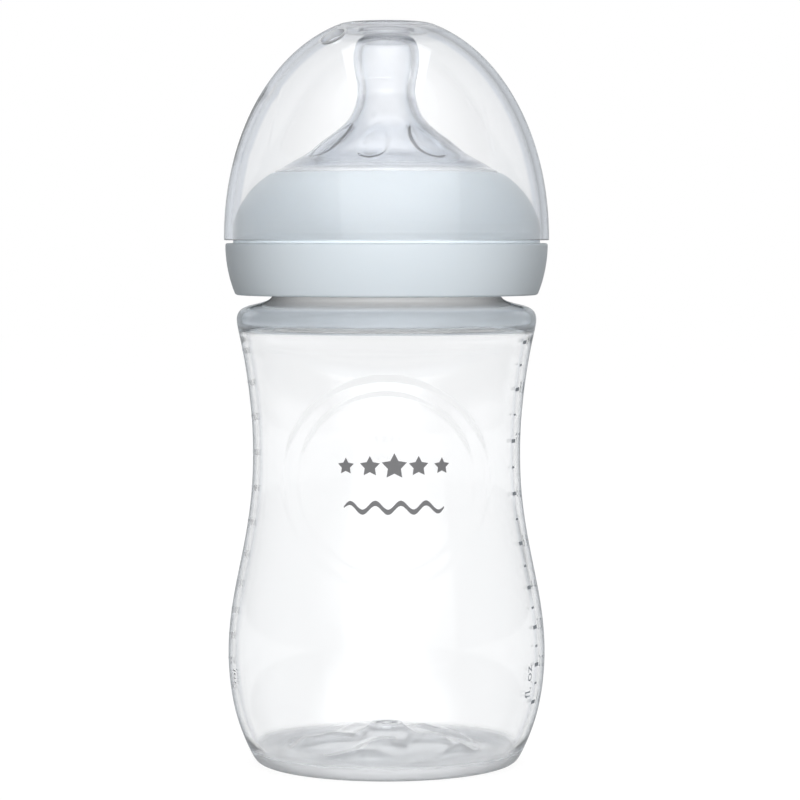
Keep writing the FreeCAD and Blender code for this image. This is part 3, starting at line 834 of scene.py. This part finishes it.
def let_through(tree, shader, cloudiness, clear, milky):
    """Share of the light that goes straight through, from clear to milky plastic."""
    node = tree.nodes.new("ShaderNodeMapRange")
    node.inputs["To Min"].default_value, node.inputs["To Max"].default_value = clear, milky
    tree.links.new(cloudiness, node.inputs["Value"])
    tree.links.new(node.outputs["Result"], shader.inputs["Transmission Weight"])


def band(tree, value, start, full, fading, end):
    """1 from full to fading, 0 before start and after end, all in mm."""
    return combine(tree, "MULTIPLY", fade(tree, value, start, full, 0.0, 1.0),
                   fade(tree, value, fading, end))


def bottle_plastic():
    """Clear along the blown walls, partly milky and bluish in the thick floor and
    shoulder, more so in the foot and most of all in the neck."""
    mat, tree, shader = material("clear_pp", IOR=1.49, Roughness=0.04)
    tree.links.new(spread(tree, noise(tree, 60, 3), 0.02, 0.06), shader.inputs["Roughness"])
    bump(tree, shader, noise(tree, 45, 2, (1, 1, 0.35)), 0.03, 0.0005)
    up, out = measure(tree, "height"), measure(tree, "radius")
    floor = combine(tree, "MULTIPLY", fade(tree, out, *FLOOR_FADE_R),
                    fade(tree, up, *FLOOR_FADE_Z))
    foot = fade(tree, up, *FOOT_FADE)
    shoulder, neck = band(tree, up, *SHOULDER_ZONE), band(tree, up, *NECK_ZONE)
    # Painted shade: the wall is tinted darker and bluer towards its rims, where it is seen edge on.
    edge = glancing(tree, [(0.0, (0.99, 0.993, 0.996)), (0.74, (0.98, 0.985, 0.99)),
                           (0.82, (0.74, 0.77, 0.82)), (0.91, (0.27, 0.31, 0.38)),
                           (1.0, (0.22, 0.26, 0.33))])
    # Painted rim shade on the walls; the milky floor and foot take their own pale tint instead.
    edge_shade_and_milk_tint = blend(tree, combine(tree, "MAXIMUM", floor, foot), edge, (0.945, 0.96, 0.98))
    high = blend(tree, neck, (0.86, 0.915, 0.965), (0.985, 0.985, 0.98))
    tree.links.new(blend(tree, shoulder, edge_shade_and_milk_tint, high), shader.inputs["Base Color"])
    cloudy = combine(tree, "MAXIMUM", share(tree, foot, 0.8),
                     share(tree, combine(tree, "MAXIMUM", floor, shoulder), 0.42))
    let_through(tree, shader, combine(tree, "MAXIMUM", cloudy, neck), 0.985, 0.2)
    absorb(tree, (5.0, 4.2, 3.2))
    return mat


def cap_plastic():
    """Clear, with a soft-looking edge round the flat top and round the air hole."""
    mat, tree, shader = material("cap_pp", IOR=1.49, Roughness=0.03)
    tree.links.new(spread(tree, noise(tree, 70, 3), 0.01, 0.05), shader.inputs["Roughness"])
    bump(tree, shader, noise(tree, 40, 2), 0.015, 0.0004)
    # Painted shade: the dome is tinted darker and bluer in a band near its rims, where it is seen
    # edge on.
    edge = glancing(tree, [(0.0, (1.0, 1.0, 1.0)), (0.66, (0.985, 0.99, 0.995)),
                           (0.72, (0.66, 0.71, 0.79)), (0.88, (0.60, 0.65, 0.73)),
                           (1.0, (0.66, 0.71, 0.78))])
    turn, out = math.radians(VENT_AZ - 90.0), VENT_AT_R * MM
    vent = (out * math.cos(turn), out * math.sin(turn), VENT_Z * MM)
    hole = fade(tree, measure(tree, "point", vent), VENT_R + 0.5, VENT_R + 0.8)
    top = fade(tree, measure(tree, "height"), CAP_TOP_Z - 2.6, CAP_TOP_Z - 1.4, 0.0, 1.0)
    soft = combine(tree, "MAXIMUM", hole, top)
    tree.links.new(blend(tree, soft, edge, (0.955, 0.965, 0.99)), shader.inputs["Base Color"])
    cloudy = combine(tree, "MAXIMUM", hole, share(tree, top, 0.45))
    let_through(tree, shader, cloudy, 1.0, 0.55)
    absorb(tree, (12.0, 10.0, 7.0))
    return mat


def ring_plastic():
    """Pale blue-grey, satin, with a fine grain and a little light scattered inside."""
    mat, tree, shader = material("ring_pp", Base_Color=(0.61, 0.665, 0.705, 1), IOR=1.49,
                                 Roughness=0.34, Subsurface_Weight=0.15, Subsurface_Scale=0.002)
    shader.inputs["Subsurface Radius"].default_value = (0.9, 1.0, 1.1)
    tree.links.new(spread(tree, noise(tree, 300, 4), 0.28, 0.42), shader.inputs["Roughness"])
    bump(tree, shader, noise(tree, 2600, 2), 0.04, 0.0001)
    return mat


def soft_silicone():
    """Nearly clear face on, with painted blue-grey shade where it is seen edge on, milkier round
    its foot and tip.
    """
    mat, tree, shader = material("silicone", IOR=1.41, Roughness=0.08)
    tree.links.new(spread(tree, noise(tree, 150, 2), 0.05, 0.12), shader.inputs["Roughness"])
    bump(tree, shader, noise(tree, 90, 2), 0.03, 0.0003)
    # Painted shade: the silicone is tinted blue-grey towards its rims, where it is seen edge on.
    edge = glancing(tree, [(0.0, (0.955, 0.96, 0.97)), (0.30, (0.945, 0.955, 0.97)),
                           (0.45, (0.90, 0.925, 0.96)), (0.65, (0.79, 0.84, 0.91)),
                           (1.0, (0.68, 0.74, 0.84))])
    up = measure(tree, "height")
    foot = fade(tree, up, CONE_FOOT_Z + 0.9, CONE_FOOT_Z + 2.4)
    tip = fade(tree, up, TEAT_TIP_Z - 1.6, TEAT_TIP_Z - 0.5, 0.0, 1.0)
    soft = combine(tree, "MAXIMUM", foot, tip)
    tree.links.new(blend(tree, soft, edge, (0.93, 0.955, 0.98)), shader.inputs["Base Color"])
    let_through(tree, shader, soft, 0.94, 0.5)
    absorb(tree, (20.0, 16.0, 9.0))
    return mat


def print_ink(name, colour):
    """Matt printing ink, a little uneven."""
    mat, tree, shader = material(name, Base_Color=(*colour, 1), Roughness=0.55)
    tree.links.new(spread(tree, noise(tree, 900, 4), 0.45, 0.65), shader.inputs["Roughness"])
    return mat


# ---- the object ------------------------------------------------------------------------
bottle, ring, teat, cap = make_bottle(), make_ring(), make_teat(), make_cap()
for piece, made in ((bottle, bottle_plastic()), (ring, ring_plastic()),
                    (teat, soft_silicone()), (cap, cap_plastic())):
    piece.data.materials.clear()
    piece.data.materials.append(made)
grey_ink = print_ink("grey_ink", (0.16, 0.16, 0.165))
scale_ink = print_ink("scale_ink", (0.30, 0.33, 0.36))
emblem(grey_ink)
ounce_scale(scale_ink)
millilitre_scale(print_ink("pale_ink", (0.74, 0.755, 0.77)))


# ---- floor, light and camera --------------------------------------------------------------
def stage_mesh(name, verts, faces, shade, glow):
    """Floor or backdrop: an even glow, plus shade, the part that answers to the lights."""
    mesh = bpy.data.meshes.new(name)
    mesh.from_pydata(verts, [], faces)
    obj = bpy.data.objects.new(name, mesh)
    bpy.context.scene.collection.objects.link(obj)
    mat, tree, shader = material(name, Base_Color=(shade, shade, shade, 1), Roughness=1.0,
                                 Specular_IOR_Level=0.0, Emission_Color=(1, 1, 1, 1),
                                 Emission_Strength=glow)
    mesh.materials.append(mat)
    return obj, tree, shader


def sky_dome(name, radius, shade, glow):
    """Bright seamless backdrop, seen directly and through the clear walls."""
    bm = bmesh.new()
    bmesh.ops.create_uvsphere(bm, u_segments=48, v_segments=24, radius=radius)
    bm.verts.index_update()
    verts = [tuple(v.co) for v in bm.verts]
    faces = [tuple(v.index for v in f.verts) for f in bm.faces]
    bm.free()
    return stage_mesh(name, verts, faces, shade, glow)


def area_light(name, place, target, size, power):
    """Soft rectangular light at a place, aimed at a target, in metres and watts."""
    data = bpy.data.lights.new(name, "AREA")
    data.shape, data.size, data.size_y = "RECTANGLE", size[0], size[1]
    data.energy = power
    obj = bpy.data.objects.new(name, data)
    obj.location = place
    obj.rotation_mode = "QUATERNION"
    obj.rotation_quaternion = (Vector(target) - Vector(place)).to_track_quat("-Z", "Y")
    bpy.context.scene.collection.objects.link(obj)
    return obj


# The floor lies a hair under the foot, so that light leaving the foot meets it.
FLOOR, SKY, SINK = 3.0, 3.4, -0.00005
# Glow of the backdrop to the sides, of the floor and of the backdrop on the viewer's side.
SIDE_GLOW, NEAR_GLOW, FRONT_GLOW = 0.5, 1.0, 2.8
# Distances over which those glows change, mm.
NEAR_FADE, BEHIND_FADE, FRONT_FADE = (1600.0, 2700.0), (1300.0, 2600.0), (2000.0, 3700.0)
# What the lights are aimed at, about the middle of the bottle.
AIM = (0, 0, 0.09)

corners = [(x * FLOOR, y * FLOOR, SINK) for x, y in ((-1, -1), (1, -1), (1, 1), (-1, 1))]
floor, floor_tree, floor_shader = stage_mesh("floor", corners, [(0, 1, 2, 3)], 0.04, 1.0)
# Painted contact shadow: the floor glows a little less under and just round the foot.
painted_contact_shadow = fade(floor_tree, measure(floor_tree, "radius"), FOOT_IN, FOOT_OUT * 1.3, 0.93, 1.0)
nearer = fade(floor_tree, measure(floor_tree, "point", (0.0, -FLOOR, 0.0)),
              *NEAR_FADE, NEAR_GLOW, 0.0)
floor_tree.links.new(combine(floor_tree, "MAXIMUM", painted_contact_shadow, nearer),
                     floor_shader.inputs["Emission Strength"])

backdrop, sky_tree, sky_shader = sky_dome("backdrop", SKY, 0.0, 1.0)
behind = fade(sky_tree, measure(sky_tree, "point", (-0.4, SKY, 0.0)),
              *BEHIND_FADE, 1.0, SIDE_GLOW)
in_front = fade(sky_tree, measure(sky_tree, "point", (0.0, -0.64 * SKY, 0.77 * SKY)),
                *FRONT_FADE, FRONT_GLOW, SIDE_GLOW)
sky_tree.links.new(combine(sky_tree, "MAXIMUM", behind, in_front),
                   sky_shader.inputs["Emission Strength"])
for surround in (floor, backdrop):
    surround.visible_diffuse = surround.visible_glossy = False
backdrop.visible_shadow = False

world = bpy.data.worlds.new("studio")
world.use_nodes = True
sky = world.node_tree.nodes["Background"]
sky.inputs["Color"].default_value = (0.94, 0.98, 1.0, 1)
sky.inputs["Strength"].default_value = 0.5
world.cycles_visibility.diffuse = False
bpy.context.scene.world = world
bpy.context.scene.view_settings.view_transform = "Standard"

area_light("key", (0.22, -1.2, 0.45), AIM, (2.3, 1.3), 3.8)
area_light("top", (0.0, -0.1, 1.5), (0, 0, 0), (1.2, 1.2), 6.0)
# The fills light the plastic without showing in it.
for fill in (area_light("soft_fill", (0.15, -1.25, 0.45), AIM, (1.6, 1.0), 3.5),
             area_light("low_fill", (0.0, -1.25, 0.14), AIM, (1.8, 0.26), 18.0),
             area_light("rear_fill", (0.1, 1.3, 0.5), AIM, (1.8, 1.0), 22.0)):
    fill.visible_glossy = fill.visible_transmission = False

# Camera in metres, its downward tilt in degrees, lens and sensor width in mm.
CAMERA_PLACE, CAMERA_DIP, LENS, SENSOR = (0.003, -0.690, 0.1168), 2.963, 139.1, 36.0
camera_data = bpy.data.cameras.new("camera")
camera_data.sensor_width, camera_data.lens = SENSOR, LENS
camera = bpy.data.objects.new("camera", camera_data)
camera.location = CAMERA_PLACE
camera.rotation_euler = (math.radians(90.0 - CAMERA_DIP), 0.0, 0.0)
bpy.context.scene.collection.objects.link(camera)
bpy.context.scene.camera = camera
